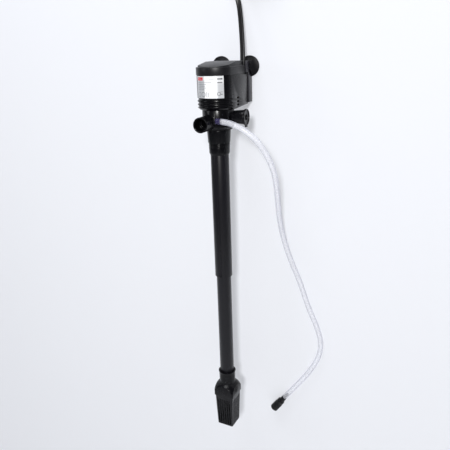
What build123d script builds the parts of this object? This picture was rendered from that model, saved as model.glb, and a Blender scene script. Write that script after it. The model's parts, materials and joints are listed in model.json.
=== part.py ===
# Submersible power-head pump with a suction lift tube, an air hose and a suction-cup bracket.
# The origin is midway between the two suction cups, on the glass that they hold: +X right,
# -Y out to the front of the pump, +Z up. Heights below are over the outlet axis, and depths are
# behind the pump's own vertical axis, so `at` turns them into the part's frame. Millimetres.
import os
from math import pi, radians, tan

from build123d import *

os.makedirs("parts", exist_ok=True)

# Clearances
slip = 0.15        # between pieces that slide or turn on each other
run = 0.05         # the rotor on its shaft, radially
seat = 0.1         # between pieces that are pushed together once

# Where the pump stands from the cups
axis_back = 52.4   # from the glass out to the pump's axis
cup_height = 49.0  # of the cups over the outlet axis
cup_x = 16.5

# Motor housing
head_r = 20.8
head_half = 19.0
head_back = 38.5
head_low = 9.1
head_top = 43.2
wall = 2.0
floor_top = 16.5
head_chamfer = 2.2
low_front = 4.0
low_rise = 1.6
groove_r = 1.1
groove_heights = (19.7, 16.0, 12.7)
recess_r = 14.8
recess_top = 14.5
lug_groove_r = 16.0
lug_low = 10.9
lug_high = 12.5
lug_r = 15.7
lug_angle = 24.0
well_r = 7.1
well_wall = 1.3
well_top = 40.2
tongue_half = 4.0
tongue_low = 18.0
tongue_high = 34.0
tongue_depth = 3.0
window_depth = 1.0
window_side = 1.5
window_height = 36.0
latch_height = 40.0
latch_tall = 0.8
latch_long = 2.6

# Lid
lid_back = 31.0
lid_r = 21.3
lid_top = 51.0
lid_wall = 2.0
ledge = 2.0
roof_kink = 11.0
roof_top = 55.6
roof_round = 0.6
seam_front = -14.0  # a fine slanted line along each flank, under the top edge
seam_low = lid_top - 2.6
seam_high = lid_top - 1.2
seam_tall = 0.35
seam_depth = 0.35

# Rating label
label_thick = 0.2
label_low = 21.3
label_high = 42.7
label_from = -47.0
label_to = 41.0

# Stator
core_mid = 27.0
core_stack = 12.0
core_half = 15.0
core_front = -11.0
core_corner = 3.0
pole_back = 11.5
leg_x = 8.6
leg_wide = 5.6
leg_back = 34.5
yoke_deep = 5.0
bobbin_front = 12.5
bobbin_back = 28.5
bobbin_wall = 0.9
flange_grow = 3.4
winding_grow = 2.8
potting_deep = 1.6

# Rotor, shaft and bearings
shaft_r = 1.25
shaft_low = -7.2
shaft_high = 39.0
bush_high_low = 37.4
magnet_r = 6.5
magnet_low = 16.8
magnet_high = 36.6
magnet_edge = 0.6
wheel_r = 11.0
wheel_hub_r = 3.2
wheel_low = -5.0
wheel_disc_low = 4.6
wheel_disc_high = 6.0
blade_count = 6
blade_thick = 1.2
neck_r = 4.0

# Pump chamber
chamber_r = 16.6
chamber_high = 9.0
chamber_taper = -8.3
chamber_low = -11.6
chamber_low_r = 14.6
chamber_lip = 1.2
volute_r = 13.6
volute_low = -6.4
volute_high = 8.0
collar_r = 14.5
collar_high = 13.0
collar_bore = 12.4
inlet_r = 7.4
spider_r = 3.4
spider_arm = 1.6
spider_low = -8.8
bush_r = 2.4
socket_r = 10.3
front_x = -4.4
front_height = -3.2
boss_r = 8.0
boss_end = -17.2
stub_r = 5.6
stub_end = -23.4
front_port_r = 4.5
side_depth = 3.0
side_height = 0.6
side_root = 8.0
side_root_r = 5.9
side_r = 7.5
side_bore = 4.9
side_end = 28.4
seal_wide = 1.6

# Venturi nozzle and its air nipple
nozzle_r = 7.75
nozzle_bore = 6.3
nozzle_end = -36.5
nozzle_edge = 0.4
nipple_depth = -20.4
nipple_height = -1.2
nipple_gap = 0.8   # from the stub to the root of the nipple
nipple_root = front_x + stub_r + nipple_gap
nipple_collar_r = 2.9
nipple_collar_end = 6.0
nipple_end = 11.0
nipple_bore = 1.2
barb_r = 1.95

# Flow cap on the side outlet
cap_flange_r = 8.4
cap_thick = 1.9
cap_spigot = 5.0
cap_bore = 3.0
cap_rim = 0.9
cap_rim_deep = 0.8
tab_wide = 4.0
tab_tall = 1.5

# Suction adapter, clamp collar and lift tubes
adapter_top = -12.0
adapter_top_r = 12.6
adapter_edge = 0.4
adapter_low = -25.6
adapter_low_r = 11.7
adapter_bore = 8.1
adapter_stop = -15.0
clamp_top = -25.9
clamp_r = 11.2
clamp_low_r = 10.9
clamp_low = -36.3
clamp_tip = -38.4
clamp_tip_r = 10.0
thread_count = 4
thread_pitch = 1.0
thread_r = 0.3
upper_r = 9.75
upper_bore = 8.45
upper_low = -177.9
lip_tall = 2.4     # turned-in lip that stops the lower tube
lower_r = 8.25
lower_bore = 7.05
lower_low = -315.0
stop_r = 8.38
stop_tall = 3.0
lower_top = upper_low + lip_tall + stop_tall + slip  # drawn out as far as its stop lets it
mark_wide = 3.2
mark_tall = 7.2
mark_height = -174.0
mark_deep = 0.45

# Strainer
strainer_top = -304.3
strainer_turn = -5.0
rim_r = 10.4
rim_tall = 1.6
rim_taper = 0.4
socket_wall = 1.35
strainer_neck = -320.5
neck_wide = 9.4
dome_low = -333.0
shoulder_low = -336.0
shoulder_r = 17.4
shoulder_half = 12.7
shoulder_round = 2.2
shoulder_bulge = 1.6
box_half_top = 11.7
box_half_low = 10.2
box_low = -378.5
box_wall = 1.8
box_round = 1.7
box_round_in = 0.5
slot_count = 6
slot_wide = 1.1
slot_pitch = 3.0
slot_top = -341.0
slot_low = -375.8
base_tall = 3.0

# Bracket
bracket_half = 19.6
block_front = 31.4
block_low = 43.5
block_high = 55.0
block_back = 43.0
block_wall = 1.2
block_solid = 36.4
plate_front = 39.0
plate_low = 11.7
cheek_top = 41.0
cheek_back = 50.2
cheek_wall = 2.0
notch_left = 12.4
notch_right = 18.5
notch_back = 35.4
block_round = 1.0

# Suction cups
stud_r = 2.2
stud_deep = 4.6
stem_r = 3.6
stem_end = 46.8
bell_root_r = 4.6
bell_r = 11.0
bell_front = 51.4
bell_thin = 0.7
bell_bulge = 1.0
bell_hollow = 48.6

# Mains lead: flat twin cord, its gland, coil, tie and two-pin plug
lead_wide = 5.4
lead_thick = 3.0
gland_x = 15.6
gland_depth = 33.2
gland_wide = 5.6
gland_thick = 3.8
gland_high = 45.6
gland_low = 41.6
lead_points = [
    (gland_x, gland_depth, gland_high),
    (gland_x, gland_depth, 56.0),
    (14.9, 35.4, 68.0),
    (13.4, 37.7, 83.0),
    (11.3, 40.8, 99.0),
    (8.6, 43.4, 115.0),
    (3.8, 44.4, 131.0),
    (-1.2, 44.6, 146.0),
    (-3.6, 44.6, 160.0),
]
coil_x = 22.0
coil_depth = 44.6
coil_height = 161.0
coil_mean = 25.5
coil_section = 13.0
coil_round = 3.0
tie_thick = 0.8
tie_angle = 9.0
tie_at = 40.0
tail_points = [
    (26.0, coil_depth, 186.3),
    (42.0, coil_depth, 186.9),
    (58.0, coil_depth, 185.5),
]
boot_long = 9.0
boot_wide = 9.0
boot_thick = 6.0
plug_long = 25.0
plug_wide = 35.3
plug_thick = 13.7
plug_round = 4.5
plug_taper = 1.2
boot_round = 2.0
pin_r = 2.0
pin_long = 19.0
pin_apart = 18.6
pin_deep = 6.0

# Air hose and its regulator
hose_r = 3.0
arc_share = 0.45   # of the shorter run that each arc of a cord takes
hose_points = [
    (nipple_collar_end, nipple_depth, nipple_height),
    (17.0, nipple_depth, nipple_height),
    (32.5, -20.2, -7.0),
    (46.2, -17.5, -17.5),
    (55.5, -12.0, -32.5),
    (60.9, -4.5, -50.5),
    (61.4, 5.0, -69.5),
    (59.0, 17.5, -92.5),
    (57.2, 30.5, -117.5),
    (58.8, 41.2, -143.5),
    (65.6, 47.0, -170.5),
    (77.6, 48.9, -199.5),
    (87.2, 49.0, -229.5),
    (99.2, 49.0, -255.0),
    (104.8, 49.0, -277.5),
    (100.6, 48.9, -299.5),
    (87.6, 48.5, -323.5),
    (70.2, 47.8, -347.5),
    (59.2, 47.0, -362.6),
]
hose_bore = 2.0
regulator_neck_r = 3.2
regulator_neck = 7.0
regulator_r = 4.6
regulator_long = 5.0
regulator_cap_r = 5.0
regulator_cap_long = 11.5
regulator_stem_r = 2.0
regulator_stem = 8.0
regulator_hole = 1.0
flute_count = 12
flute_r = 0.45

out_z = -cup_height
axis_y = -axis_back


def at(x, depth, height):
    return (x, axis_y + depth, out_z + height)


def level(height):
    return Plane(origin=at(0, 0, height))


def facing_front(x, depth, height):
    return Plane(origin=at(x, depth, height), x_dir=(1, 0, 0), z_dir=(0, -1, 0))


def facing_right(x, depth, height):
    return Plane(origin=at(x, depth, height), x_dir=(0, 1, 0), z_dir=(1, 0, 0))


def facing_back(x, depth, height):
    return Plane(origin=at(x, depth, height), x_dir=(-1, 0, 0), z_dir=(0, 1, 0))


pump_axis = Axis(at(0, 0, 0), (0, 0, 1))
pump_side = facing_front(0, 0, 0)


def head_outline(radius, half, back):
    Circle(radius)
    with Locations((0, back / 2)):
        Rectangle(2 * half, back)
    with Locations((0, 0)):
        Rectangle(2 * half, 4 * radius + back, mode=Mode.INTERSECT)


def block(left, right, front, back, low, high, mode=Mode.ADD):
    # a box between two sides, two depths and two heights
    middle = at((left + right) / 2, (front + back) / 2, (low + high) / 2)
    with Locations(middle):
        Box(right - left, back - front, high - low, mode=mode)


def profile(points):
    Polyline(*points, close=True)


def save(builder, name):
    builder.part.label = name
    export_step(builder.part, f"parts/{name}.step")


# ---------------------------------------------------------------- motor housing
with BuildPart() as housing:
    with BuildSketch(level(head_low)):
        head_outline(head_r, head_half, head_back)
    extrude(amount=head_top - head_low)
    low_edges = housing.edges().group_by(Axis.Z)[0]
    chamfer(low_edges.filter_by(GeomType.CIRCLE), head_chamfer)
    with BuildSketch(level(floor_top)):
        head_outline(head_r - wall, head_half - wall, head_back - wall)
    extrude(amount=head_top - floor_top, mode=Mode.SUBTRACT)
    with BuildSketch(facing_right(-head_half, 0, 0)):
        with BuildLine():
            profile([
                (low_front, head_low),
                (head_back, head_low),
                (head_back, head_low + low_rise),
            ])
        make_face()
    extrude(amount=2 * head_half, mode=Mode.SUBTRACT)
    block(-head_half, head_half, lid_back, head_back, head_top - wall, head_top)
    block(-tongue_half, tongue_half, head_back - wall, head_back + tongue_depth, tongue_low, tongue_high)
    with BuildSketch(level(recess_top)):
        Circle(well_r + well_wall)
    extrude(amount=well_top + well_wall - recess_top)
    with BuildSketch(level(head_low)):
        Circle(well_r)
    extrude(amount=well_top - head_low, mode=Mode.SUBTRACT)
    with BuildSketch(level(head_low)):
        Circle(recess_r)
    extrude(amount=recess_top - head_low, mode=Mode.SUBTRACT)
    with BuildSketch(level(lug_low - slip)):
        Circle(lug_groove_r)
    extrude(amount=lug_high - lug_low + 2 * slip, mode=Mode.SUBTRACT)
    with BuildSketch(pump_side):
        with Locations(*[(head_r, h) for h in groove_heights]):
            Circle(groove_r)
    revolve(axis=pump_axis, mode=Mode.SUBTRACT)
    for side in (-1, 1):
        outer = side * head_half
        inner = side * (head_half - window_depth)
        near = min(outer, inner)
        far = max(outer, inner)
        block(near, far, head_back - window_side, head_back, window_height - window_side / 2,
              window_height + window_side / 2, mode=Mode.SUBTRACT)
        block(near, far, head_back - latch_long, head_back, latch_height - latch_tall / 2,
              latch_height + latch_tall / 2, mode=Mode.SUBTRACT)
    with BuildSketch(level(gland_low)):
        with Locations((gland_x, gland_depth)):
            SlotOverall(gland_wide, gland_thick)
    extrude(amount=gland_high - gland_low, mode=Mode.SUBTRACT)
save(housing, "housing")

# ---------------------------------------------------------------- lid with its raised roof
with BuildPart() as lid:
    with BuildSketch(level(head_top)):
        head_outline(lid_r, head_half, lid_back)
    extrude(amount=lid_top - head_top)
    chamfer(lid.faces().sort_by(Axis.Z)[-1].edges(), roof_round)
    with BuildSketch(level(head_top)):
        head_outline(lid_r - lid_wall, head_half - lid_wall, lid_back - lid_wall)
    extrude(amount=lid_top - lid_wall - head_top, mode=Mode.SUBTRACT)
    with BuildSketch(level(lid_top - lid_wall / 2)):
        head_outline(lid_r - ledge, head_half - ledge, lid_back)
    extrude(amount=roof_top - lid_top + lid_wall / 2)
    with BuildSketch(facing_right(-head_half, 0, 0)):
        with BuildLine():
            profile([
                (ledge - lid_r, lid_top + roof_round / 2),
                (roof_kink, roof_top),
                (ledge - lid_r, roof_top),
            ])
        make_face()
    extrude(amount=2 * head_half, mode=Mode.SUBTRACT)
    for side in (-1, 1):
        flank = side * head_half
        with BuildSketch(facing_right(min(flank, flank - side * seam_depth), 0, 0)):
            with BuildLine():
                profile([
                    (seam_front, seam_low),
                    (lid_back, seam_high),
                    (lid_back, seam_high + seam_tall),
                    (seam_front, seam_low + seam_tall),
                ])
            make_face()
        extrude(amount=seam_depth, mode=Mode.SUBTRACT)
save(lid, "lid")

# ---------------------------------------------------------------- rating label on the round front
with BuildPart() as label:
    with BuildSketch(level(label_low)):
        Circle(head_r + label_thick)
        Circle(head_r, mode=Mode.SUBTRACT)
        with BuildLine():
            reach = 2 * head_r
            left = Line((0, 0), (reach * tan(radians(label_from)), -reach))
            right = Line((0, 0), (reach * tan(radians(label_to)), -reach))
            Line(left @ 1, right @ 1)
        make_face(mode=Mode.INTERSECT)
    extrude(amount=label_high - label_low)
save(label, "rating_label")

# ---------------------------------------------------------------- stator: laminated core, bobbins, windings
core_low = core_mid - core_stack / 2
with BuildPart() as core:
    block(-core_half, core_half, core_front, pole_back, core_low, core_low + core_stack)
    block(-leg_x - leg_wide / 2, leg_x + leg_wide / 2, leg_back - yoke_deep, leg_back,
          core_low, core_low + core_stack)
    for side in (-1, 1):
        block(side * leg_x - leg_wide / 2, side * leg_x + leg_wide / 2, 0, leg_back,
              core_low, core_low + core_stack)
    with BuildSketch(level(core_low)):
        Circle(well_r + well_wall + seat)
    extrude(amount=core_stack, mode=Mode.SUBTRACT)
    corners = core.edges().filter_by(Axis.Z).group_by(Axis.Y)[0]
    chamfer(corners, core_corner)
save(core, "stator_core")

bobbin_half_x = leg_wide / 2 + seat + bobbin_wall
bobbin_half_z = core_stack / 2 + seat + bobbin_wall
for name, side in (("left", -1), ("right", 1)):
    with BuildPart() as bobbin:
        with BuildSketch(facing_back(side * leg_x, bobbin_front, core_mid)):
            Rectangle(2 * bobbin_half_x, 2 * bobbin_half_z)
        extrude(amount=bobbin_back - bobbin_front)
        for depth in (bobbin_front, bobbin_back - bobbin_wall):
            with BuildSketch(facing_back(side * leg_x, depth, core_mid)):
                Rectangle(2 * bobbin_half_x + flange_grow, 2 * bobbin_half_z + flange_grow)
            extrude(amount=bobbin_wall)
        with BuildSketch(facing_back(side * leg_x, bobbin_front, core_mid)):
            Rectangle(leg_wide + 2 * seat, core_stack + 2 * seat)
        extrude(amount=bobbin_back - bobbin_front, mode=Mode.SUBTRACT)
    save(bobbin, f"bobbin_{name}")
    with BuildPart() as winding:
        with BuildSketch(facing_back(side * leg_x, bobbin_front + bobbin_wall + seat, core_mid)):
            Rectangle(2 * bobbin_half_x + winding_grow, 2 * bobbin_half_z + winding_grow)
            Rectangle(2 * bobbin_half_x + seat, 2 * bobbin_half_z + seat, mode=Mode.SUBTRACT)
        extrude(amount=bobbin_back - bobbin_front - 2 * bobbin_wall - 2 * seat)
    save(winding, f"winding_{name}")

with BuildPart() as potting:
    with BuildSketch(level(head_top)):
        head_outline(head_r - wall - seat, head_half - wall - seat, lid_back - lid_wall - seat)
    extrude(amount=potting_deep)
save(potting, "potting_plate")

# ---------------------------------------------------------------- shaft, bearings, rotor and impeller
with BuildPart() as shaft:
    with BuildSketch(level(shaft_low)):
        Circle(shaft_r)
    extrude(amount=shaft_high - shaft_low)
save(shaft, "shaft")

with BuildPart() as top_bush:
    with BuildSketch(level(bush_high_low)):
        Circle(well_r - seat)
    extrude(amount=well_top - bush_high_low)
    with BuildSketch(level(bush_high_low)):
        Circle(shaft_r)
    extrude(amount=shaft_high - bush_high_low, mode=Mode.SUBTRACT)
save(top_bush, "top_bush")

with BuildPart() as low_bush:
    with BuildSketch(level(spider_low)):
        Circle(bush_r - seat)
    extrude(amount=volute_low - spider_low)
    with BuildSketch(level(shaft_low)):
        Circle(shaft_r + run)
    extrude(amount=volute_low - shaft_low, mode=Mode.SUBTRACT)
save(low_bush, "low_bush")

with BuildPart() as magnet:
    with BuildSketch(level(magnet_low)):
        Circle(magnet_r)
        Circle(shaft_r + run, mode=Mode.SUBTRACT)
    extrude(amount=magnet_high - magnet_low)
    chamfer(magnet.edges().filter_by(GeomType.CIRCLE).sort_by(SortBy.RADIUS)[-2:], magnet_edge)
save(magnet, "rotor_magnet")

with BuildPart() as impeller:
    with BuildSketch(level(wheel_low)):
        Circle(wheel_hub_r)
    extrude(amount=wheel_disc_high - wheel_low)
    with BuildSketch(level(wheel_disc_low)):
        Circle(wheel_r)
    extrude(amount=wheel_disc_high - wheel_disc_low)
    with BuildSketch(level(wheel_disc_high)):
        Circle(neck_r)
    extrude(amount=magnet_low - wheel_disc_high)
    with BuildSketch(level(wheel_low)):
        with PolarLocations(0, blade_count):
            with Locations((wheel_r / 2, 0)):
                Rectangle(wheel_r, blade_thick)
        Circle(wheel_r, mode=Mode.INTERSECT)
    extrude(amount=wheel_disc_low - wheel_low)
    with BuildSketch(level(wheel_low)):
        Circle(shaft_r + run)
    extrude(amount=magnet_low - wheel_low, mode=Mode.SUBTRACT)
save(impeller, "impeller")

# ---------------------------------------------------------------- pump chamber with its two outlets
with BuildPart() as chamber:
    with BuildSketch(pump_side):
        with BuildLine():
            profile([
                (0, chamber_low),
                (chamber_low_r, chamber_low),
                (chamber_low_r, chamber_low + chamber_lip),
                (chamber_r, chamber_taper),
                (chamber_r, chamber_high),
                (collar_r, chamber_high),
                (collar_r, collar_high),
                (0, collar_high),
            ])
        make_face()
    revolve(axis=pump_axis)
    with BuildSketch(facing_front(front_x, 0, front_height)):
        Circle(boss_r)
    extrude(amount=-boss_end)
    with BuildSketch(facing_front(front_x, boss_end, front_height)):
        Circle(stub_r)
    extrude(amount=boss_end - stub_end)
    with BuildSketch(facing_right(side_root, side_depth, side_height)):
        Circle(side_root_r)
    with BuildSketch(facing_right(side_end, side_depth, side_height)):
        Circle(side_r)
    loft()
    with BuildSketch(level(volute_low)):
        Circle(volute_r)
    extrude(amount=volute_high - volute_low, mode=Mode.SUBTRACT)
    with BuildSketch(level(volute_high)):
        Circle(collar_bore)
    extrude(amount=collar_high - volute_high, mode=Mode.SUBTRACT)
    with BuildSketch(level(chamber_low)):
        Circle(socket_r)
    extrude(amount=spider_low - chamber_low, mode=Mode.SUBTRACT)
    with BuildSketch(level(spider_low)):
        Circle(inlet_r)
        with PolarLocations(0, 3):
            with Locations((inlet_r / 2, 0)):
                Rectangle(inlet_r, spider_arm, mode=Mode.SUBTRACT)
        Circle(spider_r, mode=Mode.SUBTRACT)
        Circle(bush_r)
    extrude(amount=volute_low - spider_low, mode=Mode.SUBTRACT)
    with BuildSketch(facing_front(front_x, stub_end, front_height)):
        Circle(front_port_r)
    extrude(amount=stub_end, mode=Mode.SUBTRACT)
    with BuildSketch(facing_right(0, side_depth, side_height)):
        Circle(side_bore)
    extrude(amount=side_end, mode=Mode.SUBTRACT)
    with BuildSketch(facing_right(front_x, nipple_depth, nipple_height)):
        Circle(nipple_bore)
    extrude(amount=2 * stub_r, mode=Mode.SUBTRACT)
    for turn in (0, 180):
        lug_plane = Plane(origin=at(0, 0, lug_low)).rotated((0, 0, turn))
        with BuildSketch(lug_plane):
            Circle(lug_r)
            Circle(collar_r - seat, mode=Mode.SUBTRACT)
            with BuildLine():
                reach = 2 * lug_r
                left = Line((0, 0), (reach, -reach * tan(radians(lug_angle / 2))))
                right = Line((0, 0), (reach, reach * tan(radians(lug_angle / 2))))
                Line(left @ 1, right @ 1)
            make_face(mode=Mode.INTERSECT)
        extrude(amount=lug_high - lug_low)
save(chamber, "pump_chamber")

with BuildPart() as seal:
    with BuildSketch(level(collar_high + slip)):
        Circle(recess_r - seat)
        Circle(recess_r - seat - seal_wide, mode=Mode.SUBTRACT)
    extrude(amount=recess_top - collar_high - slip)
save(seal, "chamber_seal")

# ---------------------------------------------------------------- venturi nozzle, nipple and side flow cap
with BuildPart() as nozzle:
    with BuildSketch(facing_front(front_x, boss_end - seat, front_height)):
        Circle(nozzle_r)
        Circle(stub_r + seat, mode=Mode.SUBTRACT)
    extrude(amount=boss_end - seat - nozzle_end)
    with BuildSketch(facing_front(front_x, stub_end - seat, front_height)):
        Circle(nozzle_bore)
    extrude(amount=stub_end - seat - nozzle_end, mode=Mode.SUBTRACT)
    mouth = nozzle.faces().sort_by(Axis.Y)[0]
    fillet(mouth.edges(), nozzle_edge)
    with BuildSketch(facing_right(front_x, nipple_depth, nipple_height)):
        Circle(barb_r)
    extrude(amount=nozzle_r + nipple_root, mode=Mode.SUBTRACT)
save(nozzle, "venturi_nozzle")

with BuildPart() as nipple:
    with BuildSketch(facing_right(nipple_root, nipple_depth, nipple_height)):
        Circle(barb_r)
    extrude(amount=nipple_end - nipple_root)
    with BuildSketch(facing_right(front_x + nozzle_r, nipple_depth, nipple_height)):
        Circle(nipple_collar_r)
    extrude(amount=nipple_collar_end - front_x - nozzle_r)
    with BuildSketch(facing_right(nipple_root, nipple_depth, nipple_height)):
        Circle(nipple_bore)
    extrude(amount=nipple_end - nipple_root, mode=Mode.SUBTRACT)
save(nipple, "air_nipple")

with BuildPart() as flow_cap:
    with BuildSketch(facing_right(side_end - cap_spigot, side_depth, side_height)):
        Circle(side_bore - slip)
    extrude(amount=cap_spigot + slip)
    with BuildSketch(facing_right(side_end + slip, side_depth, side_height)):
        Circle(cap_flange_r)
    extrude(amount=cap_thick)
    with BuildSketch(facing_right(side_end + slip, side_depth, side_height - cap_flange_r)):
        Rectangle(tab_wide, 2 * tab_tall)
    extrude(amount=cap_thick)
    cap_face = side_end + slip + cap_thick
    with BuildSketch(facing_right(cap_face - cap_rim_deep, side_depth, side_height)):
        Circle(cap_flange_r - cap_rim)
    extrude(amount=cap_rim_deep, mode=Mode.SUBTRACT)
    with BuildSketch(facing_right(side_end - cap_spigot, side_depth, side_height)):
        Circle(cap_bore)
    extrude(amount=cap_spigot + slip + cap_thick, mode=Mode.SUBTRACT)
save(flow_cap, "flow_cap")

# ---------------------------------------------------------------- suction adapter and clamp collar
with BuildPart() as adapter:
    with BuildSketch(pump_side):
        with BuildLine():
            profile([
                (adapter_bore, spider_low - seat),
                (socket_r - seat, spider_low - seat),
                (socket_r - seat, adapter_top + adapter_edge),
                (adapter_top_r, adapter_top),
                (adapter_low_r, adapter_low),
                (upper_r + seat, adapter_low),
                (upper_r + seat, adapter_stop),
                (adapter_bore, adapter_stop),
            ])
        make_face()
    revolve(axis=pump_axis)
save(adapter, "suction_adapter")

with BuildPart() as clamp:
    with BuildSketch(pump_side):
        with BuildLine():
            profile([
                (upper_r + seat, clamp_top),
                (clamp_r, clamp_top),
                (clamp_low_r, clamp_low),
                (clamp_tip_r, clamp_tip),
                (upper_r + seat, clamp_tip),
            ])
        make_face()
    revolve(axis=pump_axis)
    with BuildSketch(pump_side):
        with Locations(*[(clamp_r, clamp_top - (turn + 1) * thread_pitch) for turn in range(thread_count)]):
            Circle(thread_r)
    revolve(axis=pump_axis, mode=Mode.SUBTRACT)
save(clamp, "clamp_collar")

# ---------------------------------------------------------------- telescoping lift tubes
with BuildPart() as upper_tube:
    with BuildSketch(pump_side):
        with BuildLine():
            profile([
                (upper_bore, adapter_stop - seat),
                (upper_r, adapter_stop - seat),
                (upper_r, upper_low),
                (lower_r + run, upper_low),
                (lower_r + run, upper_low + lip_tall),
                (upper_bore, upper_low + lip_tall),
            ])
        make_face()
    revolve(axis=pump_axis)
    with BuildSketch(facing_front(0, -upper_r + mark_deep, mark_height)):
        Ellipse(mark_wide / 2, mark_tall / 2)
    extrude(amount=upper_r, mode=Mode.SUBTRACT)
save(upper_tube, "upper_tube")

with BuildPart() as lower_tube:
    with BuildSketch(pump_side):
        with BuildLine():
            profile([
                (lower_bore, lower_top),
                (stop_r, lower_top),
                (stop_r, lower_top - stop_tall),
                (lower_r, lower_top - stop_tall),
                (lower_r, lower_low),
                (lower_bore, lower_low),
            ])
        make_face()
    revolve(axis=pump_axis)
save(lower_tube, "lower_tube")

# ---------------------------------------------------------------- square strainer and its base
socket_in = lower_r + seat
socket_out = socket_in + socket_wall


def square(half, corner):
    RectangleRounded(2 * half, 2 * half, corner, rotation=strainer_turn)


def turned(plane):
    across = plane.x_dir.rotate(Axis.Z, strainer_turn)
    outward = plane.z_dir.rotate(Axis.Z, strainer_turn)
    return Plane(origin=plane.origin, x_dir=across, z_dir=outward)


with BuildPart() as strainer:
    with BuildSketch(pump_side):
        with BuildLine():
            start = Polyline(
                (0, strainer_top),
                (rim_r, strainer_top),
                (rim_r - rim_taper, strainer_top - rim_tall),
                (socket_out, strainer_top - 2 * rim_tall),
                (neck_wide, strainer_neck),
            )
            dome = ThreePointArc(
                start @ 1,
                (
                    (neck_wide + shoulder_r) / 2 + shoulder_bulge,
                    (strainer_neck + dome_low) / 2 + shoulder_bulge,
                ),
                (shoulder_r, dome_low),
            )
            Polyline(dome @ 1, (shoulder_r, shoulder_low), (0, shoulder_low), (0, strainer_top))
        make_face()
    revolve(axis=pump_axis)
    with BuildSketch(level(shoulder_low)):
        square(shoulder_half, shoulder_round)
    extrude(amount=strainer_top - shoulder_low, mode=Mode.INTERSECT)
    with BuildSketch(level(shoulder_low)):
        square(box_half_top, box_round)
    with BuildSketch(level(box_low)):
        square(box_half_low, box_round)
    loft()
    with BuildSketch(level(shoulder_low - box_wall)):
        square(box_half_top - box_wall, box_round_in)
    with BuildSketch(level(box_low)):
        square(box_half_low - box_wall, box_round_in)
    loft(mode=Mode.SUBTRACT)
    with BuildSketch(level(shoulder_low - box_wall)):
        Circle(lower_bore)
    extrude(amount=strainer_top - shoulder_low + box_wall, mode=Mode.SUBTRACT)
    with BuildSketch(level(lower_low - seat)):
        Circle(socket_in)
    extrude(amount=strainer_top - lower_low + seat, mode=Mode.SUBTRACT)
    slot_middle = (slot_top + slot_low) / 2
    for plane in (facing_front(0, 0, slot_middle), facing_right(0, 0, slot_middle)):
        with BuildSketch(turned(plane)):
            with GridLocations(slot_pitch, 1, slot_count, 1):
                SlotOverall(slot_top - slot_low, slot_wide, rotation=90)
        extrude(amount=2 * box_half_top, both=True, mode=Mode.SUBTRACT)
save(strainer, "strainer")

base_half = box_half_low - box_wall - seat
with BuildPart() as base:
    with BuildSketch(level(box_low)):
        square(base_half, box_round_in)
    extrude(amount=base_tall)
save(base, "strainer_base")

# ---------------------------------------------------------------- bracket behind the housing
with BuildPart() as bracket:
    block(-bracket_half, bracket_half, block_front, block_back, block_low, block_high)
    block(-bracket_half, bracket_half, plate_front, block_back, plate_low, block_low)
    top_edges = bracket.edges().filter_by(Axis.Y).group_by(Axis.Z)[-1]
    fillet(top_edges, block_round)
    block(-bracket_half, bracket_half, block_back, cheek_back, plate_low, cheek_top)
    block(-bracket_half + cheek_wall, bracket_half - cheek_wall, block_back, cheek_back,
          plate_low + cheek_wall, cheek_top, mode=Mode.SUBTRACT)
    block(-bracket_half + block_wall, bracket_half - block_wall, block_front + block_wall, block_solid,
          block_low, block_high - block_wall, mode=Mode.SUBTRACT)
    block(notch_left, notch_right, block_front, notch_back, block_low, block_high, mode=Mode.SUBTRACT)
    block(-tongue_half - slip, tongue_half + slip, plate_front, block_back, tongue_low - slip,
          tongue_high + slip, mode=Mode.SUBTRACT)
    for side in (-1, 1):
        with BuildSketch(facing_front(side * cup_x, block_back, cup_height)):
            Circle(stud_r + slip)
        extrude(amount=stud_deep + slip, mode=Mode.SUBTRACT)
save(bracket, "bracket")

# ---------------------------------------------------------------- suction cups
for name, side in (("left", -1), ("right", 1)):
    cup_plane = Plane(origin=at(side * cup_x, 0, cup_height), x_dir=(1, 0, 0), z_dir=(0, 0, 1))
    with BuildPart() as cup:
        with BuildSketch(cup_plane):
            with BuildLine():
                shell = Polyline(
                    (0, block_back - stud_deep),
                    (stud_r, block_back - stud_deep),
                    (stud_r, block_back + slip),
                    (stem_r, block_back + slip),
                    (stem_r, stem_end),
                    (bell_root_r, stem_end + bell_thin),
                )
                bell = ThreePointArc(
                    shell @ 1,
                    ((bell_root_r + bell_r) / 2, (stem_end + bell_front) / 2 + bell_bulge),
                    (bell_r, bell_front),
                )
                rim = Polyline(bell @ 1, (bell_r, axis_back), (bell_r - bell_thin, axis_back))
                hollow = ThreePointArc(
                    rim @ 1,
                    (bell_r / 2, (axis_back + bell_hollow) / 2 - bell_thin / 2),
                    (bell_thin, bell_hollow),
                )
                Polyline(hollow @ 1, (0, bell_hollow), shell @ 0)
            make_face()
        revolve(axis=Axis(at(side * cup_x, 0, cup_height), (0, 1, 0)))
    save(cup, f"suction_cup_{name}")

# ---------------------------------------------------------------- cords
def rounded_path(points, least):
    # straight runs joined by tangent arcs, each as large as its two runs allow
    spots = [Vector(*at(*point)) for point in points]
    runs = [spots[i + 1] - spots[i] for i in range(len(spots) - 1)]
    radii = []
    for before, after in zip(runs, runs[1:]):
        turn = radians(before.get_angle(after))
        radii.append(arc_share * min(before.length, after.length) / tan(turn / 2))
    print("runs", [round(one.length, 1) for one in runs])
    print("radii", [round(radius, 1) for radius in radii], "least wanted", least)
    return spots, radii


def report_tube(name, solid, section, length):
    print(name, "length", round(length, 1), "volume ratio", round(solid.volume / (section * length), 4))


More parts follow.
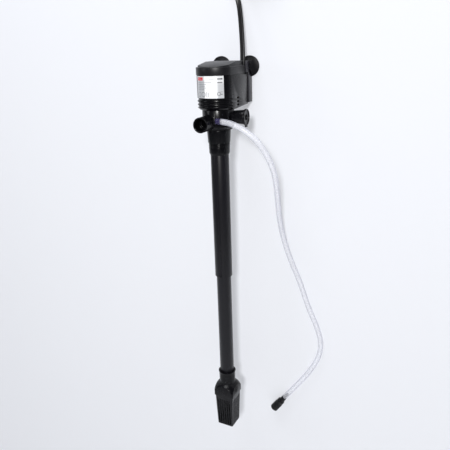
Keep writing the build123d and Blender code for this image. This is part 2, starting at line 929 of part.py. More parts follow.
hose_spots, hose_radii = rounded_path(hose_points, 10 * hose_r)
with BuildPart() as hose:
    with BuildLine() as hose_path:
        FilletPolyline(*hose_spots, radius=hose_radii)
    with BuildSketch(Plane(origin=hose_path.line @ 0, z_dir=hose_path.line % 0)):
        Circle(hose_r)
    sweep()
    report_tube("hose", hose.part, pi * hose_r ** 2, hose_path.wire().length)
    with BuildSketch(Plane(origin=hose_path.line @ 0, z_dir=hose_path.line % 0)):
        Circle(hose_bore)
    extrude(amount=nipple_end - nipple_collar_end, mode=Mode.SUBTRACT)
    hose_end = hose_path.line @ 1
    hose_way = hose_path.line % 1
    with BuildSketch(Plane(origin=hose_end, z_dir=-hose_way)):
        Circle(hose_bore)
    extrude(amount=regulator_neck, mode=Mode.SUBTRACT)
save(hose, "air_hose")

regulator_plane = Plane(origin=hose_end, x_dir=(0, -1, 0), z_dir=hose_way)
with BuildPart() as regulator:
    with BuildSketch(regulator_plane.offset(-regulator_neck + seat)):
        Circle(barb_r)
    extrude(amount=regulator_neck - seat)
    with BuildSketch(regulator_plane):
        Circle(regulator_neck_r)
    extrude(amount=regulator_neck)
    with BuildSketch(regulator_plane.offset(regulator_neck)):
        Circle(regulator_r)
    extrude(amount=regulator_long)
    with BuildSketch(regulator_plane.offset(regulator_neck + regulator_long)):
        Circle(regulator_stem_r)
    extrude(amount=regulator_stem)
    with BuildSketch(regulator_plane.offset(-regulator_neck + seat)):
        Circle(regulator_hole)
    extrude(amount=2 * regulator_neck + regulator_long, mode=Mode.SUBTRACT)
save(regulator, "regulator_body")

with BuildPart() as regulator_cap:
    with BuildSketch(regulator_plane.offset(regulator_neck + regulator_long + slip)):
        Circle(regulator_cap_r)
        with PolarLocations(regulator_cap_r, flute_count):
            Circle(flute_r, mode=Mode.SUBTRACT)
    extrude(amount=regulator_cap_long)
    with BuildSketch(regulator_plane.offset(regulator_neck + regulator_long + slip)):
        Circle(regulator_stem_r + slip)
    extrude(amount=regulator_stem + slip, mode=Mode.SUBTRACT)
save(regulator_cap, "regulator_cap")

lead_spots, lead_radii = rounded_path(lead_points, 5 * lead_wide)
lead_section = (lead_wide - lead_thick) * lead_thick + pi * lead_thick ** 2 / 4
with BuildPart() as lead:
    with BuildLine() as lead_path:
        FilletPolyline(*lead_spots, radius=lead_radii)
    with BuildSketch(Plane(origin=lead_path.line @ 0, x_dir=(1, 0, 0), z_dir=lead_path.line % 0)):
        SlotOverall(lead_wide, lead_thick)
    sweep()
report_tube("lead", lead.part, lead_section, lead_path.wire().length)
save(lead, "mains_lead")

tail_spots, tail_radii = rounded_path(tail_points, 5 * lead_wide)
with BuildPart() as tail:
    with BuildLine() as tail_path:
        FilletPolyline(*tail_spots, radius=tail_radii)
    with BuildSketch(Plane(origin=tail_path.line @ 0, x_dir=(0, 1, 0), z_dir=tail_path.line % 0)):
        SlotOverall(lead_wide, lead_thick, rotation=90)
    sweep()
report_tube("tail", tail.part, lead_section, tail_path.wire().length)
save(tail, "lead_tail")

coil_axis = Axis(at(coil_x, coil_depth, coil_height), (0, 1, 0))
coil_plane = Plane(origin=at(coil_x, coil_depth, coil_height), x_dir=(1, 0, 0), z_dir=(0, 0, 1))
with BuildPart() as coil:
    with BuildSketch(coil_plane):
        with Locations((coil_mean, 0)):
            RectangleRounded(coil_section, coil_section, coil_round)
    revolve(axis=coil_axis)
save(coil, "lead_coil")

tie_section = coil_section + 2 * tie_thick
with BuildPart() as tie:
    with BuildSketch(coil_plane.rotated((0, tie_at, 0))):
        with Locations((coil_mean, 0)):
            RectangleRounded(tie_section, tie_section, coil_round + tie_thick)
            RectangleRounded(coil_section, coil_section, coil_round, mode=Mode.SUBTRACT)
    revolve(axis=coil_axis, revolution_arc=tie_angle)
save(tie, "coil_tie")

with BuildPart() as gland:
    with BuildSketch(level(gland_low)):
        with Locations((gland_x, gland_depth)):
            SlotOverall(gland_wide, gland_thick)
    extrude(amount=gland_high - gland_low)
save(gland, "cable_gland")

plug_plane = Plane(origin=tail_path.line @ 1, x_dir=(0, 1, 0), z_dir=tail_path.line % 1)
with BuildPart() as plug:
    with BuildSketch(plug_plane):
        RectangleRounded(boot_thick, boot_wide, boot_round)
    with BuildSketch(plug_plane.offset(boot_long)):
        RectangleRounded(plug_thick - 2 * plug_taper, plug_wide / 2, plug_round)
    loft()
    with BuildSketch(plug_plane.offset(boot_long)):
        RectangleRounded(plug_thick - 2 * plug_taper, plug_wide / 2, plug_round)
    with BuildSketch(plug_plane.offset(boot_long + plug_long / 2)):
        RectangleRounded(plug_thick, plug_wide, plug_round)
    loft()
    with BuildSketch(plug_plane.offset(boot_long + plug_long / 2)):
        RectangleRounded(plug_thick, plug_wide, plug_round)
    extrude(amount=plug_long / 2)
    with BuildSketch(plug_plane.offset(boot_long + plug_long - pin_deep)):
        with GridLocations(1, pin_apart, 1, 2):
            Circle(pin_r)
    extrude(amount=pin_deep, mode=Mode.SUBTRACT)
save(plug, "mains_plug")

for name, side in (("low", -1), ("high", 1)):
    with BuildPart() as pin:
        with BuildSketch(plug_plane.offset(boot_long + plug_long - pin_deep)):
            with Locations((0, side * pin_apart / 2)):
                Circle(pin_r)
        extrude(amount=pin_deep + pin_long)
        tip = pin.faces().sort_by(Axis.X)[-1]
        fillet(tip.edges(), pin_r / 2)
    save(pin, f"plug_pin_{name}")
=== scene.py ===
# Looks for the submersible power-head pump: soft-edged mouldings, cords, finishes, studio.
import json
from functools import reduce
from math import cos, pi, radians, sin

import bpy
from mathutils import Matrix, Vector


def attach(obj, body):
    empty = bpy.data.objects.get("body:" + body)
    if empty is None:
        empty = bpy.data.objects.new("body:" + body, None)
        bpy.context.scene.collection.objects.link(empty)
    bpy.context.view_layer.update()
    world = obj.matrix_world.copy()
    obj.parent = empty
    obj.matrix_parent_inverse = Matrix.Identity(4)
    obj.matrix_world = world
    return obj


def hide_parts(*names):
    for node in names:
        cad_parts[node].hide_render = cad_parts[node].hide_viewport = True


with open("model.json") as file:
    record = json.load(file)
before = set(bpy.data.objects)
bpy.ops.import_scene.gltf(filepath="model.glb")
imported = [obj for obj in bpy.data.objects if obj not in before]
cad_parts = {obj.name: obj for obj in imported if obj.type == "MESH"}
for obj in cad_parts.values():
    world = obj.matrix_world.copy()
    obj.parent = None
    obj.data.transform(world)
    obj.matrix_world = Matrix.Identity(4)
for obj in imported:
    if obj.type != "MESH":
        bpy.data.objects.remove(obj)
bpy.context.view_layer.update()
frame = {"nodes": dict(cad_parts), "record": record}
mm = 0.001
pumpAxisY = -0.0524      # of the vertical axis that the lift tubes share
outletZ = -0.049         # of the outlets' level


def spot(x, depth, height):   # millimetres from the pump's axis and over its outlets
    return Vector((x * mm, pumpAxisY + depth * mm, outletZ + height * mm))


camera = {
    "place": (0.22100, -0.56507, 0.02077),
    "azimuth": 23.0,
    "pitch": -18.6,
    "roll": -1.88,
    "lens": 42.4,
    "sensor": 36.0,
}


def addCamera():
    data = bpy.data.cameras.new("studioCamera")
    data.lens = camera["lens"]
    data.sensor_width = camera["sensor"]
    data.clip_end = 20
    eye = bpy.data.objects.new("studioCamera", data)
    bpy.context.scene.collection.objects.link(eye)
    turn = Matrix.Rotation(radians(camera["azimuth"]), 4, "Z")
    tilt = Matrix.Rotation(radians(90 + camera["pitch"]), 4, "X")
    roll = Matrix.Rotation(radians(camera["roll"]), 4, "Z")
    eye.matrix_world = Matrix.Translation(camera["place"]) @ turn @ tilt @ roll
    bpy.context.scene.camera = eye


addCamera()
print("camera set")


# A wire is the output of a shader node, and sums on wires add the nodes that work them out.
class Wire:
    def __init__(self, finish, socket):
        self.finish = finish
        self.socket = socket

    def math(self, operation, *others):
        return self.finish.node("ShaderNodeMath", {"operation": operation}, [self, *others])

    def __add__(self, other):
        return self.math("ADD", other)

    __radd__ = __add__

    def __sub__(self, other):
        return self.math("SUBTRACT", other)

    def __rsub__(self, other):
        return self.finish.node("ShaderNodeMath", {"operation": "SUBTRACT"}, [other, self])

    def __mul__(self, other):
        return self.math("MULTIPLY", other)

    __rmul__ = __mul__

    def __truediv__(self, other):
        return self.math("DIVIDE", other)

    def __gt__(self, other):
        return self.math("GREATER_THAN", other)

    def __lt__(self, other):
        return self.math("LESS_THAN", other)

    def atLeast(self, other):
        return self.math("MAXIMUM", other)

    def within(self, low, high):
        return (self > low) * (self < high)

    def ease(self, low, high, lowValue=0.0, highValue=1.0):
        settings = {"interpolation_type": "SMOOTHSTEP"}
        return self.finish.node("ShaderNodeMapRange", settings, [self, low, high, lowValue, highValue])


class Finish:
    def __init__(self, name, colour, roughness, **constants):
        self.material = bpy.data.materials.new(name)
        self.material.use_nodes = True
        self.tree = self.material.node_tree
        self.shader = self.tree.nodes["Principled BSDF"]
        self.shader.inputs["Base Color"].default_value = (*colour, 1.0)
        self.shader.inputs["Roughness"].default_value = roughness
        for key, value in constants.items():
            self.shader.inputs[key.replace("_", " ")].default_value = value
        self.place = self.node("ShaderNodeTexCoord", {}, [], "Object")

    def node(self, kind, settings, values, output=0):
        made = self.tree.nodes.new(kind)
        for key, value in settings.items():
            setattr(made, key, value)
        pairs = values.items() if isinstance(values, dict) else enumerate(values)
        for key, value in pairs:
            if isinstance(value, Wire):
                self.tree.links.new(value.socket, made.inputs[key])
            else:
                made.inputs[key].default_value = value
        return Wire(self, made.outputs[output])

    def feed(self, name, wire):
        self.tree.links.new(wire.socket, self.shader.inputs[name])

    def axes(self):
        split = self.node("ShaderNodeSeparateXYZ", {}, [self.place])
        outputs = split.socket.node.outputs
        return [Wire(self, outputs[i]) for i in range(3)]

    def noise(self, scale, detail=3.0, stretch=(1, 1, 1)):
        where = self.node("ShaderNodeMapping", {}, {"Vector": self.place, "Scale": stretch})
        return self.node("ShaderNodeTexNoise", {}, {"Vector": where, "Scale": scale, "Detail": detail})

    def mix(self, share, first, second):
        return self.node("ShaderNodeMix", {"data_type": "RGBA"}, {0: share, 6: first, 7: second}, 2)

    def bump(self, height, strength, distance):
        values = {"Height": height, "Strength": strength, "Distance": distance}
        self.feed("Normal", self.node("ShaderNodeBump", {}, values))


def tinted(colour, gain):
    return tuple(min(1.0, part * gain) for part in colour) + (1.0,)


mouldings = {
    # colour, roughness, grain height in metres, coat weight, specular level
    "glossBlack": ((0.0032, 0.0032, 0.0042), 0.25, 0.00002, 0.02, 0.17),
    "satinBlack": ((0.0060, 0.0060, 0.0075), 0.38, 0.00004, 0.0, 0.30),
    "bracketBlack": ((0.0080, 0.0070, 0.0120), 0.34, 0.00004, 0.0, 0.26),
    "plugBlack": ((0.010, 0.010, 0.011), 0.42, 0.00005, 0.0, 0.4),
    "naturalNylon": ((0.80, 0.79, 0.74), 0.42, 0.00003, 0.0, 0.5),
    "castResin": ((0.030, 0.024, 0.022), 0.30, 0.00006, 0.1, 0.5),
    "ferrite": ((0.05, 0.05, 0.055), 0.48, 0.00006, 0.0, 0.5),
    "ceramic": ((0.86, 0.85, 0.82), 0.18, 0.00001, 0.2, 0.5),
}


def moulded(name):   # smudged gloss, a faint sparkle of grain and slow shifts of colour
    colour, roughness, grain, coat, shine = mouldings[name]
    finish = Finish(name, colour, roughness, Coat_Weight=coat, Coat_Roughness=0.12,
                    Specular_IOR_Level=shine)
    cloud = finish.noise(55, 4)
    smudge = finish.noise(190, 5)
    fine = finish.noise(2600, 2)
    finish.feed("Base Color", finish.mix(cloud.ease(0.35, 0.7), tinted(colour, 0.86), tinted(colour, 1.25)))
    finish.feed("Roughness", roughness - 0.06 + 0.10 * cloud + 0.05 * smudge.ease(0.45, 0.75))
    finish.bump(fine + 0.6 * smudge, 0.25, grain)
    return finish.material


flexibles = {
    # colour, roughness
    "tubeBlack": ((0.0050, 0.0048, 0.0068), 0.33),
    "rubberBlack": ((0.0035, 0.0033, 0.0042), 0.44),
    "cordBlack": ((0.0055, 0.0055, 0.0065), 0.34),
}


def extruded(name):   # faint draw lines along the tube
    colour, roughness = flexibles[name]
    finish = Finish(name, colour, roughness, Specular_IOR_Level=0.25)
    lines = finish.noise(900, 2, (1, 1, 0.01))
    cloud = finish.noise(40, 3, (1, 1, 0.35))
    finish.feed("Base Color", finish.mix(cloud.ease(0.3, 0.75), tinted(colour, 0.85), tinted(colour, 1.3)))
    finish.feed("Roughness", roughness - 0.05 + 0.12 * cloud)
    finish.bump(lines, 0.2, 0.00003)
    return finish.material


def rubbery(name):   # dull, with a pale bloom
    colour, roughness = flexibles[name]
    finish = Finish(name, colour, roughness, Specular_IOR_Level=0.16)
    bloom = finish.noise(120, 5)
    fine = finish.noise(1800, 3)
    finish.feed("Base Color", finish.mix(bloom.ease(0.45, 0.8), tinted(colour, 0.9), tinted(colour, 1.6)))
    finish.feed("Roughness", roughness + 0.14 * bloom.ease(0.3, 0.8) - 0.05)
    finish.bump(fine + bloom, 0.25, 0.00004)
    return finish.material


def sheathed(name):   # soft cord sheath with a faint orange peel
    colour, roughness = flexibles[name]
    finish = Finish(name, colour, roughness, Coat_Weight=0.05, Coat_Roughness=0.2, Specular_IOR_Level=0.3)
    peel = finish.noise(700, 3)
    cloud = finish.noise(30, 3)
    finish.feed("Base Color", finish.mix(cloud, tinted(colour, 0.8), tinted(colour, 1.3)))
    finish.feed("Roughness", roughness - 0.04 + 0.1 * cloud)
    finish.bump(peel, 0.3, 0.00004)
    return finish.material


metals = {
    # colour, roughness, laminations or turns per metre of height
    "coreSteel": ((0.42, 0.43, 0.45), 0.38, 2000),
    "copperWire": ((0.62, 0.27, 0.12), 0.30, 2400),
    "pinNickel": ((0.72, 0.71, 0.69), 0.22, 0),
}


def metal(name):
    colour, roughness, stripe = metals[name]
    finish = Finish(name, colour, roughness, Metallic=1.0)
    cloud = finish.noise(150, 4)
    height = finish.axes()[2] * stripe
    ridge = height.math("FRACT").ease(0.05, 0.3) if stripe else finish.noise(1500, 2)
    shade = ridge * 0.6 + cloud * 0.4
    finish.feed("Base Color", finish.mix(shade, tinted(colour, 0.55), tinted(colour, 1.1)))
    finish.feed("Roughness", roughness + 0.15 * cloud)
    finish.bump(ridge, 0.35, 0.00008)
    return finish.material


clearTube = {
    "middle": (0.93, 0.94, 1.0, 1),      # colour where the wall faces the eye
    "edge": (0.40, 0.41, 0.52, 1),       # and where it turns away, a painted edge shade
    "overNipple": (0.045, 0.038, 0.11, 1),
    "nippleEnd": 11.2,                   # millimetres to the right of the pump's axis
    "hides": (0.17, 0.80),               # how much it hides, middle and edge
}


def clearVinyl():
    finish = Finish("clearVinyl", clearTube["middle"][:3], 0.12, IOR=1.45)
    facing = finish.node("ShaderNodeLayerWeight", {}, {"Blend": 0.35}, "Facing")
    haze = finish.noise(90, 2, (1, 1, 0.3))
    x = finish.axes()[0]
    overNipple = 1 - (x / mm).ease(clearTube["nippleEnd"] - 0.4, clearTube["nippleEnd"] + 0.6)
    shown = facing.ease(0.1, 0.95, *clearTube["hides"]) + 0.06 * haze
    finish.feed("Alpha", shown.atLeast(overNipple * 0.55))
    # painted shade: the tube's colour greys towards its edges as the wall turns away from the eye
    wallWithPaintedEdgeShade = finish.mix(facing.ease(0.15, 0.9), clearTube["middle"], clearTube["edge"])
    finish.feed("Base Color", finish.mix(overNipple, wallWithPaintedEdgeShade, clearTube["overNipple"]))
    finish.feed("Roughness", 0.16 + 0.06 * haze)
    return finish.material


labelLayout = {
    "low": 21.3,                           # lower edge, in millimetres over the outlets
    "from": -47.0, "to": 41.0,             # angles round the pump's axis
    "wide": 32.2, "tall": 21.4,            # millimetres when flat
    # shade is the grey of the painted reflection at the film's sides
    "paper": (0.86, 0.87, 0.88), "shade": (0.34, 0.35, 0.37),
    "ink": (0.055, 0.055, 0.065), "red": (0.55, 0.02, 0.03),
    # left, right, low and high share of the label, and how dark
    "bars": [
        (0.54, 0.70, 0.855, 0.885, 0.45), (0.80, 0.96, 0.835, 0.905, 0.95),
        (0.08, 0.62, 0.700, 0.725, 0.55), (0.80, 0.96, 0.680, 0.735, 0.85),
        (0.07, 0.44, 0.610, 0.635, 0.70), (0.07, 0.40, 0.535, 0.560, 0.65),
        (0.07, 0.44, 0.460, 0.485, 0.70), (0.07, 0.36, 0.385, 0.410, 0.65),
        (0.88, 0.96, 0.280, 0.300, 0.60), (0.90, 0.96, 0.160, 0.200, 0.80),
        (0.44, 0.455, 0.06, 0.300, 0.90), (0.50, 0.515, 0.06, 0.270, 0.80),
    ],
    # middle across, middle up, radius in millimetres
    "rings": [(0.14, 0.175, 2.5), (0.32, 0.175, 2.5), (0.84, 0.20, 1.9)],
    "ringLine": 0.55, "ringInk": 0.9,
    "lozenge": (0.05, 0.31, 0.80, 0.95),   # left, right, low and high share
    # painted reflection, a grey band at each side of the film: where its inner edge fades, where it thins
    # out upwards, and by how much
    "leftSheen": ((0.34, 0.40), (0.78, 0.84), 0.35),
    "rightSheen": ((0.76, 0.84), (0.60, 0.72), 0.6),
    "rightDepth": 0.75,                    # of the right painted reflection beside the left
}


def printedLabel():   # silver-white film with plain generic rules, rings and a red lozenge, and a painted reflection greying it at both sides
    plan = labelLayout
    finish = Finish("labelFilm", plan["paper"], 0.26, Coat_Weight=0.35, Coat_Roughness=0.08)
    x, y, z = finish.axes()
    angle = x.math("ARCTAN2", pumpAxisY - y) * (180 / pi)
    across = (angle - plan["from"]) / (plan["to"] - plan["from"])
    up = (z - (outletZ + plan["low"] * mm)) / (plan["tall"] * mm)
    marks = []
    for left, right, low, high, depth in plan["bars"]:
        marks.append(across.within(left, right) * up.within(low, high) * depth)
    for middle, level, radius in plan["rings"]:
        sideways = (across - middle) * plan["wide"]
        upwards = (up - level) * plan["tall"]
        away = (sideways * sideways + upwards * upwards).math("SQRT")
        marks.append(away.within(radius - plan["ringLine"], radius) * plan["ringInk"])
    ink = reduce(Wire.atLeast, marks)
    left, right, low, high = plan["lozenge"]
    red = across.within(left, right) * up.within(low, high)
    rubbed = finish.noise(400, 4).ease(0.35, 0.6, 0.75, 1.0)
    # painted reflection: grey bands at both sides of the film, fading towards the top
    ends, thins, share = plan["leftSheen"]
    paintedReflection = (1 - across.ease(*ends)) * (1 - share * up.ease(*thins))
    ends, thins, share = plan["rightSheen"]
    paintedReflection = paintedReflection.atLeast(across.ease(*ends) * (1 - share * up.ease(*thins)) * plan["rightDepth"])
    brushed = finish.noise(500, 2, (1, 1, 0.02)) * 0.25
    # the film greys to the shade colour under the painted reflection and along its brushed lines
    paper = finish.mix(paintedReflection * 0.8 + brushed * 0.3, (*plan["paper"], 1), (*plan["shade"], 1))
    printed = finish.mix(ink * rubbed, paper, (*plan["ink"], 1))
    finish.feed("Base Color", finish.mix(red * rubbed, printed, (*plan["red"], 1)))
    finish.feed("Roughness", 0.22 + 0.2 * ink + 0.12 * brushed)
    finish.bump(ink + brushed, 0.15, 0.00003)
    return finish.material


finishes = {name: moulded(name) for name in mouldings}
finishes["tubeBlack"] = extruded("tubeBlack")
finishes["rubberBlack"] = rubbery("rubberBlack")
finishes["cordBlack"] = sheathed("cordBlack")
finishes.update({name: metal(name) for name in metals})
finishes["clearVinyl"] = clearVinyl()
finishes["labelFilm"] = printedLabel()
print("finishes made:", len(finishes))


def wear(piece, finishName):
    piece.data.materials.clear()
    piece.data.materials.append(finishes[finishName])
    for face in piece.data.polygons:
        face.material_index = 0


# Which body each node moves with.
bodyOf = {}
for bodyName, members in frame["record"]["behaviour"]["bodies"].items():
    for member in members:
        bodyOf[member] = bodyName


def pick(piece):
    bpy.ops.object.select_all(action="DESELECT")
    piece.select_set(True)
    bpy.context.view_layer.objects.active = piece


def applied(piece, kind, **settings):
    pick(piece)
    modifier = piece.modifiers.new(kind.title(), kind)
    for key, value in settings.items():
        setattr(modifier, key, value)
    bpy.ops.object.modifier_apply(modifier=modifier.name)


def soften(piece, width, segments=2, smoothBelow=34):
    if width:
        applied(piece, "BEVEL", width=width * mm, segments=segments, limit_method="ANGLE",
                angle_limit=radians(smoothBelow), use_clamp_overlap=False, harden_normals=False)
    pick(piece)
    bpy.ops.object.shade_smooth_by_angle(angle=radians(smoothBelow))


def stand(piece, node, finishName):   # the piece stands for the node and moves with its body
    wear(piece, finishName)
    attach(piece, bodyOf[node])
    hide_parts(node)


merging = {
    "weld": 0.002 * mm,      # corners nearer than this become one
    "flat": radians(0.4),    # and so do faces that bend less
}


def mergedCopy(node, name):   # the node's shape as welded flats, ready to bevel
    source = frame["nodes"][node]
    piece = bpy.data.objects.new(name, source.data.copy())
    bpy.context.scene.collection.objects.link(piece)
    pick(piece)
    bpy.ops.mesh.customdata_custom_splitnormals_clear()
    bpy.ops.object.mode_set(mode="EDIT")
    bpy.ops.mesh.select_all(action="SELECT")
    bpy.ops.mesh.remove_doubles(threshold=merging["weld"])
    bpy.ops.mesh.dissolve_limited(angle_limit=merging["flat"])
    bpy.ops.object.mode_set(mode="OBJECT")
    return piece


def camel(node, ending):
    first, *rest = node.split("_")
    return first + "".join(word.title() for word in rest) + ending


softened = {
    # node: bevel in millimetres, finish
    "housing": (0.18, "glossBlack"),
    "lid": (0.15, "satinBlack"),
    "bracket": (0.45, "bracketBlack"),
    "pump_chamber": (0.30, "glossBlack"),
    "venturi_nozzle": (0.0, "glossBlack"),
    "air_nipple": (0.15, "glossBlack"),
    "flow_cap": (0.25, "glossBlack"),
    "suction_adapter": (0.30, "glossBlack"),
    "clamp_collar": (0.12, "glossBlack"),
    "upper_tube": (0.12, "tubeBlack"),
    "lower_tube": (0.12, "tubeBlack"),
    "strainer": (0.18, "glossBlack"),
    "strainer_base": (0.25, "glossBlack"),
    "regulator_body": (0.25, "satinBlack"),
    "regulator_cap": (0.25, "satinBlack"),
    "suction_cup_left": (0.0, "rubberBlack"),
    "suction_cup_right": (0.0, "rubberBlack"),
    "mains_plug": (0.5, "plugBlack"),
    "impeller": (0.15, "naturalNylon"),
}

plain = {
    "rating_label": "labelFilm", "stator_core": "coreSteel", "bobbin_left": "naturalNylon",
    "bobbin_right": "naturalNylon", "winding_left": "copperWire", "winding_right": "copperWire",
    "potting_plate": "castResin", "shaft": "ceramic", "top_bush": "rubberBlack",
    "low_bush": "rubberBlack", "rotor_magnet": "ferrite", "chamber_seal": "rubberBlack",
    "cable_gland": "rubberBlack", "coil_tie": "naturalNylon", "plug_pin_low": "pinNickel",
    "plug_pin_high": "pinNickel",
}


hose = {
    "points": [
        (6.0, -20.4, -1.2), (17.0, -20.4, -1.2), (32.5, -20.2, -7.0), (46.2, -17.5, -17.5),
        (55.5, -12.0, -32.5), (60.9, -4.5, -50.5), (61.4, 5.0, -69.5), (59.0, 17.5, -92.5),
        (57.2, 30.5, -117.5), (58.8, 41.2, -143.5), (65.6, 47.0, -170.5), (77.6, 48.9, -199.5),
        (87.2, 49.0, -229.5), (99.2, 49.0, -255.0), (104.8, 49.0, -277.5), (100.6, 48.9, -299.5),
        (87.6, 48.5, -323.5), (70.2, 47.8, -347.5), (59.2, 47.0, -362.6),
    ],
    "outer": 3.0, "inner": 2.02, "sides": 32, "steps": 12, "length": 0.427,
}
lead = {
    "rise": [
        (15.6, 33.2, 45.6), (15.6, 33.2, 56.0), (14.9, 35.4, 68.0), (13.4, 37.7, 83.0),
        (11.3, 40.8, 99.0), (8.6, 43.0, 115.0), (2.2, 42.8, 129.5), (-4.6, 42.0, 143.0),
    ],
    "tail": [(32.0, 46.6, 190.2), (44.0, 45.2, 187.6), (51.0, 44.6, 186.0), (58.0, 44.6, 185.5)],
    # quarter turns of its wide side along the route: 0 lies across, 1 points to the wall, 2 is upright
    "riseTwist": [0, 0, 0, 0, 0, 0.25, 0.5, 0.75],
    "coilTwist": 1.0,
    "tailTwist": [1.0, 1.35, 1.7, 2.0],
    "coilMiddle": (22.0, 44.6, 161.0),
    "coilOuter": 30.1, "layerPitch": 3.15, "column": 2.9, "turns": 8.28, "perTurn": 16,
    "wide": 5.4, "thick": 3.0, "groove": 0.45, "sides": 10, "steps": 5, "length": 1.36,
}


def routeLine(name, points, steps):   # the smooth line that a cord follows
    curve = bpy.data.curves.new(name, "CURVE")
    curve.dimensions = "3D"
    spline = curve.splines.new("NURBS")
    spline.points.add(len(points) - 1)
    for knot, place in zip(spline.points, points):
        knot.co = (*spot(*place), 1.0)
    spline.order_u = 3
    spline.use_endpoint_u = True
    spline.resolution_u = steps
    holder = bpy.data.objects.new(name, curve)
    bpy.context.scene.collection.objects.link(holder)
    mesh = bpy.data.meshes.new_from_object(holder)
    line = [vertex.co.copy() for vertex in mesh.vertices]
    bpy.data.objects.remove(holder)
    bpy.data.meshes.remove(mesh)
    bpy.data.curves.remove(curve)
    return line


def sweptPiece(name, line, outlines, wideWays):   # outlines: closed rings of (sideways, out) pairs
    vertices, faces = [], []
    last = len(line) - 1
    for i, place in enumerate(line):
        along = (line[min(i + 1, last)] - line[max(i - 1, 0)]).normalized()
        wide = wideWays[i] - along * wideWays[i].dot(along)
        wide.normalize()
        out = along.cross(wide)
        for ring in outlines:
            vertices += [place + wide * a + out * b for a, b in ring]
    count = [len(ring) for ring in outlines]
    stride = sum(count)
    for i in range(last):
        start = i * stride
        for order, size in enumerate(count):
            for k in range(size):
                a, b = start + k, start + (k + 1) % size
                quad = [a, b, b + stride, a + stride]
                faces.append(quad if order == 0 else quad[::-1])
            start += size
    for base, flip in ((0, True), (last * stride, False)):
        if len(outlines) == 1:
            cap = [base + k for k in range(stride)]
            faces.append(cap[::-1] if flip else cap)
        else:
            for k in range(count[0]):
                a, b = base + k, base + (k + 1) % count[0]
                quad = [a, b, b + count[0], a + count[0]]
                faces.append(quad[::-1] if flip else quad)
    mesh = bpy.data.meshes.new(name)
    mesh.from_pydata(vertices, [], faces)
    mesh.update()
    piece = bpy.data.objects.new(name, mesh)
    bpy.context.scene.collection.objects.link(piece)
    pick(piece)
    bpy.ops.object.shade_smooth_by_angle(angle=radians(50))
    return piece


def circle(radius, sides):
    turns = [2 * pi * k / sides for k in range(sides)]
    return [(radius * mm * cos(turn), radius * mm * sin(turn)) for turn in turns]


def makeHose():
    line = routeLine("hoseLine", hose["points"], hose["steps"])
    rings = [circle(hose["outer"], hose["sides"]), circle(hose["inner"], hose["sides"])]
    across = Vector((0, 0.3, 1))      # a way that the hose never runs in
    piece = sweptPiece("airHoseTube", line, rings, [across] * len(line))
    stand(piece, "air_hose", "clearVinyl")
    return piece, line


def twinOutline():   # two round cores side by side, with a shallow valley on each face
    half = lead["thick"] / 2
    centre = lead["wide"] / 2 - half
    ring = []
    for side in (1, -1):
        for k in range(lead["sides"]):
            turn = side * (-pi / 2 + pi * k / (lead["sides"] - 1))
            ring.append((side * centre + side * half * cos(turn), half * sin(turn)))
        ring.append((0.0, side * (half - lead["groove"])))
    return [(a * mm, b * mm) for a, b in ring]


def leadRoute():   # up the wall, round the coil inwards, out again on its other layer, then to the plug
    points = list(lead["rise"])
    middle = lead["coilMiddle"]
    steps = int(lead["turns"] * lead["perTurn"])
    half = steps / 2
    for k in range(steps + 1):
        turn = k / lead["perTurn"]
        radius = lead["coilOuter"] - lead["layerPitch"] * min(k, steps - k) / lead["perTurn"]
        angle = pi - 2 * pi * turn
        cross = min(1.0, max(-1.0, (k - half) / (lead["perTurn"] / 3)))
        depth = middle[1] + lead["column"] * cross
        points.append((middle[0] + radius * cos(angle), depth, middle[2] + radius * sin(angle)))
    twists = lead["riseTwist"] + [lead["coilTwist"]] * (steps + 1) + lead["tailTwist"]
    return points + lead["tail"], twists


def wideWay(twist):   # where the wide side points after so many quarter turns
    turn = twist * pi / 2
    if twist <= lead["coilTwist"]:
        return Vector((cos(turn), sin(turn), 0))
    return Vector((0, sin(turn), -cos(turn)))


def makeLead():
    points, twists = leadRoute()
    line = routeLine("leadLine", points, lead["steps"])
    ways = []
    for i in range(len(line)):
        share = i / (len(line) - 1) * (len(points) - 1)
        low = min(int(share), len(twists) - 2)
        ways.append(wideWay(twists[low] + (twists[low + 1] - twists[low]) * (share - low)))
    piece = sweptPiece("mainsLeadCord", line, [twinOutline()], ways)
    wear(piece, "cordBlack")
    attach(piece, "pump")
    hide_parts("mains_lead", "lead_coil", "lead_tail")
    return piece, line


hosePiece, hoseLine = makeHose()
leadPiece, leadLine = makeLead()
print("cords made")


for node, (width, finishName) in softened.items():
    piece = mergedCopy(node, camel(node, "Shell"))
    soften(piece, width)
    stand(piece, node, finishName)
for node, finishName in plain.items():
    wear(frame["nodes"][node], finishName)

spot(*hose["points"][0])
spot(*lead["rise"][0])


studio = {
    "wallGap": 0.0006,       # behind the cups
    "wallHalf": 3.0,
    "floorDrop": 0.75,
    "paper": (0.455, 0.468, 0.50),
    "paperGlow": (0.350, 0.352, 0.362),    # light scattered on the paper from all round the room
    "floorPaper": (0.72, 0.73, 0.75),
    "sky": (0.90, 0.93, 1.0),
    "skyStrength": 0.09,
    "skySeen": 0.70,
}
lights = {
    # name: place, aim, size, watts, colour
    "keyBox": ((0.36, -1.42, 0.36), (0.02, -0.03, -0.12), 0.17, 19.5, (1.0, 0.99, 0.98)),
    "topBox": ((-0.15, -0.45, 1.00), (0.0, -0.06, 0.0), 0.5, 7.0, (0.96, 0.98, 1.0)),
    "leftBox": ((-1.00, -0.80, 0.20), (0.0, -0.03, -0.1), 0.35, 1.6, (0.94, 0.96, 1.0)),
}


def paperFinish(name, colour, glow):
    finish = Finish(name, colour, 0.85, Specular_IOR_Level=0.1, Emission_Strength=1.0)
    finish.shader.inputs["Emission Color"].default_value = (*glow, 1)
    cloud = finish.noise(2.2, 2)
    finish.feed("Base Color", finish.mix(cloud, tinted(colour, 0.985), tinted(colour, 1.015)))
    return finish


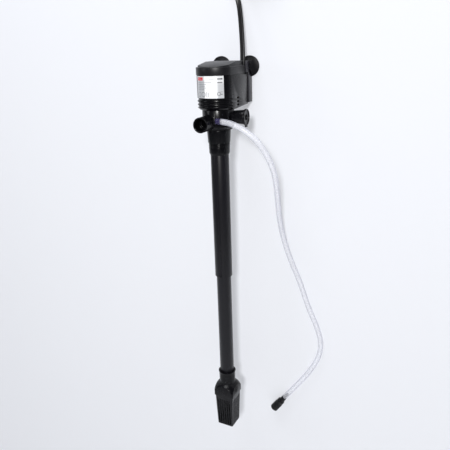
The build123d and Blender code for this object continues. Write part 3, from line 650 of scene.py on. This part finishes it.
def addPaper():   # a wall that the cups hold, clear from behind, and a floor far below
    half = studio["wallHalf"]
    bpy.ops.object.select_all(action="DESELECT")
    bpy.ops.mesh.primitive_plane_add(size=2 * half, location=(0, studio["wallGap"], 0),
                                     rotation=(radians(90), 0, 0))
    wall = bpy.context.object
    wall.name = "backdropWall"
    finish = paperFinish("backdropPaper", studio["paper"], studio["paperGlow"])
    back = finish.node("ShaderNodeNewGeometry", {}, [], "Backfacing")
    clear = finish.node("ShaderNodeBsdfTransparent", {}, [])
    shown = Wire(finish, finish.shader.outputs[0])
    blend = finish.node("ShaderNodeMixShader", {}, [back, shown, clear])
    finish.tree.links.new(blend.socket, finish.tree.nodes["Material Output"].inputs[0])
    wall.data.materials.append(finish.material)
    bpy.ops.object.select_all(action="DESELECT")
    bpy.ops.mesh.primitive_plane_add(size=2 * half, location=(0, 0, -studio["floorDrop"]))
    floor = bpy.context.object
    floor.name = "studioFloor"
    floor.data.materials.append(paperFinish("floorPaper", studio["floorPaper"], (0, 0, 0)).material)


def addLights():
    for name, (place, aim, size, watts, colour) in lights.items():
        data = bpy.data.lights.new(name, "AREA")
        data.shape = "SQUARE"
        data.size = size
        data.energy = watts
        data.color = colour
        lamp = bpy.data.objects.new(name, data)
        bpy.context.scene.collection.objects.link(lamp)
        lamp.location = place
        lamp.rotation_mode = "QUATERNION"
        lamp.rotation_quaternion = (Vector(aim) - Vector(place)).to_track_quat("-Z", "Y")


def addSky():
    world = bpy.data.worlds.new("studioSky")
    bpy.context.scene.world = world
    world.use_nodes = True
    tree = world.node_tree
    sky = tree.nodes["Background"]
    sky.inputs[0].default_value = (*studio["sky"], 1)
    seen = tree.nodes.new("ShaderNodeLightPath")      # a pale backdrop that hardly lights the pump
    level = tree.nodes.new("ShaderNodeMapRange")
    level.inputs["To Min"].default_value = studio["skyStrength"]
    level.inputs["To Max"].default_value = studio["skySeen"]
    tree.links.new(seen.outputs["Is Camera Ray"], level.inputs["Value"])
    tree.links.new(level.outputs["Result"], sky.inputs[1])
    bpy.context.scene.view_settings.view_transform = "Standard"


addPaper()
addLights()
addSky()
print("studio set")
